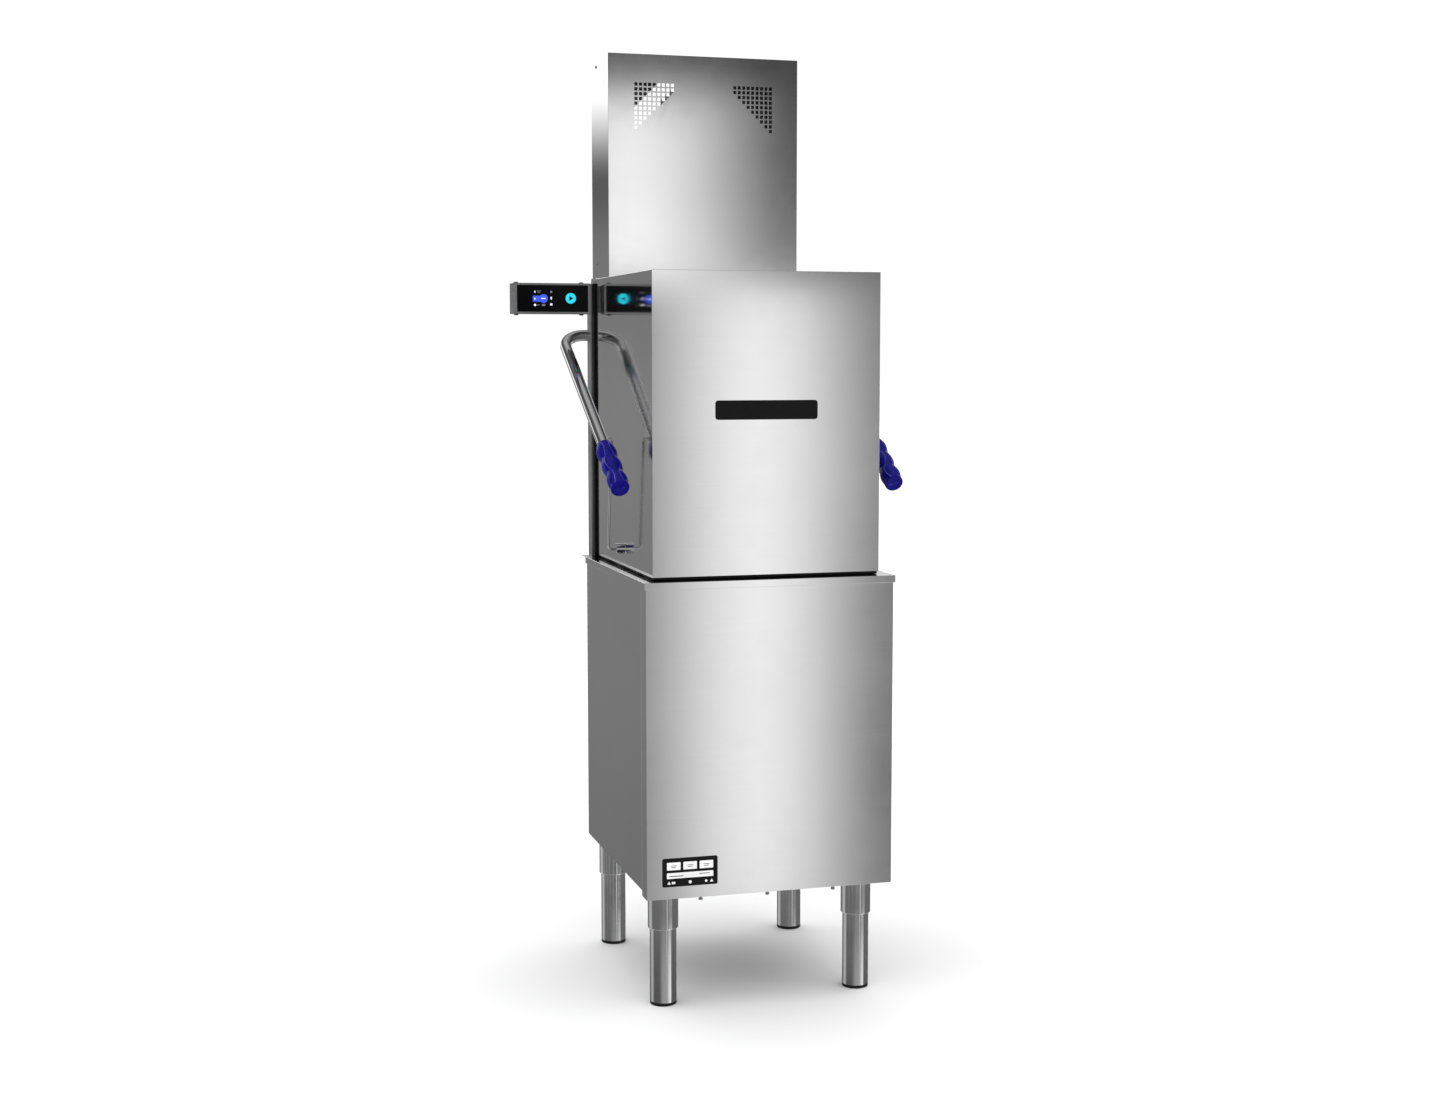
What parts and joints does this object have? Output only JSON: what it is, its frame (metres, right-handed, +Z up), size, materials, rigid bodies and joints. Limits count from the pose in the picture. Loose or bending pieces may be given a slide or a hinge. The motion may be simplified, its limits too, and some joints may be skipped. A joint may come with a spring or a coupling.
{
  "type": "commercial dishwasher",
  "caption": "Hood-type commercial dishwasher on legs: lift-up hood with side handles, wash and rinse arms, tank, rear columns and a perforated exhaust tower.",
  "frame": {"origin": "bottom centre of the overall box, on the floor", "axes": "+Z up, +Y from the front panel to the back, +X to the machine's right as seen from the front"},
  "size_m": [0.8632, 0.782, 2.3],
  "materials": {
    "brushed_steel": "satin brushed stainless sheet",
    "dull_steel": "unbrushed stainless, dull",
    "polished_steel": "polished stainless",
    "aluminium": "grey anodised",
    "black_plastic": "satin black",
    "black_rubber": "matt black",
    "black_glass": "gloss black panel",
    "blue_plastic": "deep blue, glossy",
    "cyan_plastic": "cyan ring",
    "grey_plastic": "moulded grey",
    "white_plastic": "moulded white",
    "motor_paint": "painted cast alloy"
  },
  "bodies": {
    "frame": {"front_panel": "brushed_steel", "left_side_panel": "brushed_steel", "right_side_panel": "brushed_steel", "rear_panel": "brushed_steel", "chassis": "dull_steel", "tank_rim": "brushed_steel", "panel_screw_1": "polished_steel", "panel_screw_2": "polished_steel", "panel_screw_3": "polished_steel", "data_label": "black_plastic", "wash_tank": "brushed_steel", "tank_filter": "dull_steel", "rack_guide": "polished_steel", "tank_heater": "dull_steel", "wash_pump_body": "grey_plastic", "wash_pump_motor": "motor_paint", "delivery_pipe": "dull_steel", "upper_wash_pipe": "brushed_steel", "rinse_boiler": "brushed_steel", "dosing_pumps": "grey_plastic", "drain_pipe": "grey_plastic", "inlet_valve": "white_plastic", "cable_gland": "black_plastic", "electrical_box": "grey_plastic", "left_column": "dull_steel", "right_column": "dull_steel", "left_guide": "black_plastic", "right_guide": "black_plastic", "splash_panel": "brushed_steel", "tower_base": "brushed_steel", "tower_cover": "brushed_steel", "tower_rear_panel": "brushed_steel", "condenser_coil": "aluminium", "fan_shroud": "dull_steel", "control_housing": "aluminium", "control_glass": "black_glass", "balance_spring": "dull_steel"},
    "hood": {"hood_shell": "brushed_steel", "hood_lining": "brushed_steel", "hood_seal": "black_rubber", "badge_plate": "black_plastic"},
    "handle": {"lift_bar": "polished_steel", "left_grip": "blue_plastic", "right_grip": "blue_plastic"},
    "left_link": {"left_link_rod": "polished_steel"},
    "right_link": {"right_link_rod": "polished_steel"},
    "lower_wash_arm": {"lower_wash_arm": "polished_steel"},
    "lower_rinse_arm": {"lower_rinse_arm": "polished_steel"},
    "upper_wash_arm": {"upper_wash_arm": "polished_steel"},
    "upper_rinse_arm": {"upper_rinse_arm": "polished_steel"},
    "fan": {"fan_impeller": "black_plastic"},
    "start_button": {"start_button": "cyan_plastic"},
    "front_left_leg": {"front_left_leg_tube": "polished_steel", "front_left_foot_pad": "black_rubber"},
    "rear_left_leg": {"rear_left_leg_tube": "polished_steel", "rear_left_foot_pad": "black_rubber"},
    "front_right_leg": {"front_right_leg_tube": "polished_steel", "front_right_foot_pad": "black_rubber"},
    "rear_right_leg": {"rear_right_leg_tube": "polished_steel", "rear_right_foot_pad": "black_rubber"}
  },
  "joints": [
    {"name": "hood_lift", "type": "slide", "parent": "frame", "child": "hood", "axis": [0, 0, 1], "range_m": [0, 0.42]},
    {"name": "handle_pivot", "type": "hinge", "parent": "frame", "child": "handle", "pos_m": [0.06439, 0.306, 1.592], "axis": [-1, 0, 0], "range_deg": [0, 50.1], "deforming": ["balance_spring"]},
    {"name": "left_link_pivot", "type": "hinge", "parent": "handle", "child": "left_link", "pos_m": [-0.27952, -0.111, 1.34069], "axis": [1, 0, 0], "range_deg": [0, 59.42]},
    {"name": "right_link_pivot", "type": "hinge", "parent": "handle", "child": "right_link", "pos_m": [0.4083, -0.111, 1.34069], "axis": [1, 0, 0], "range_deg": [0, 59.42]},
    {"name": "lower_wash_spin", "type": "hinge", "parent": "frame", "child": "lower_wash_arm", "pos_m": [0.06439, -0.087, 0.923], "axis": [0, 0, 1], "continuous": true},
    {"name": "lower_rinse_spin", "type": "hinge", "parent": "frame", "child": "lower_rinse_arm", "pos_m": [0.06439, -0.087, 0.953], "axis": [0, 0, 1], "continuous": true},
    {"name": "upper_wash_spin", "type": "hinge", "parent": "frame", "child": "upper_wash_arm", "pos_m": [0.06439, -0.087, 1.62], "axis": [0, 0, 1], "continuous": true},
    {"name": "upper_rinse_spin", "type": "hinge", "parent": "frame", "child": "upper_rinse_arm", "pos_m": [0.06439, -0.087, 1.59], "axis": [0, 0, 1], "continuous": true},
    {"name": "fan_spin", "type": "hinge", "parent": "frame", "child": "fan", "pos_m": [0.06439, 0.295, 2.043], "axis": [0, 0, 1], "continuous": true},
    {"name": "start_press", "type": "slide", "parent": "frame", "child": "start_button", "axis": [0, 1, 0], "range_m": [0, 0.0015], "stiffness_N_per_m": 600, "springref_m": -0.001},
    {"name": "front_left_leg_adjust", "type": "slide", "parent": "frame", "child": "front_left_leg", "axis": [0, 0, 1], "range_m": [0, 0.06]},
    {"name": "rear_left_leg_adjust", "type": "slide", "parent": "frame", "child": "rear_left_leg", "axis": [0, 0, 1], "range_m": [0, 0.06]},
    {"name": "front_right_leg_adjust", "type": "slide", "parent": "frame", "child": "front_right_leg", "axis": [0, 0, 1], "range_m": [0, 0.06]},
    {"name": "rear_right_leg_adjust", "type": "slide", "parent": "frame", "child": "rear_right_leg", "axis": [0, 0, 1], "range_m": [0, 0.06]}
  ],
  "couplings": [
    {"joint": "handle_pivot", "follows": "hood_lift", "rad_per_m": 2.0816},
    {"joint": "left_link_pivot", "follows": "hood_lift", "rad_per_m": 2.4689},
    {"joint": "right_link_pivot", "follows": "hood_lift", "rad_per_m": 2.4689}
  ]
}
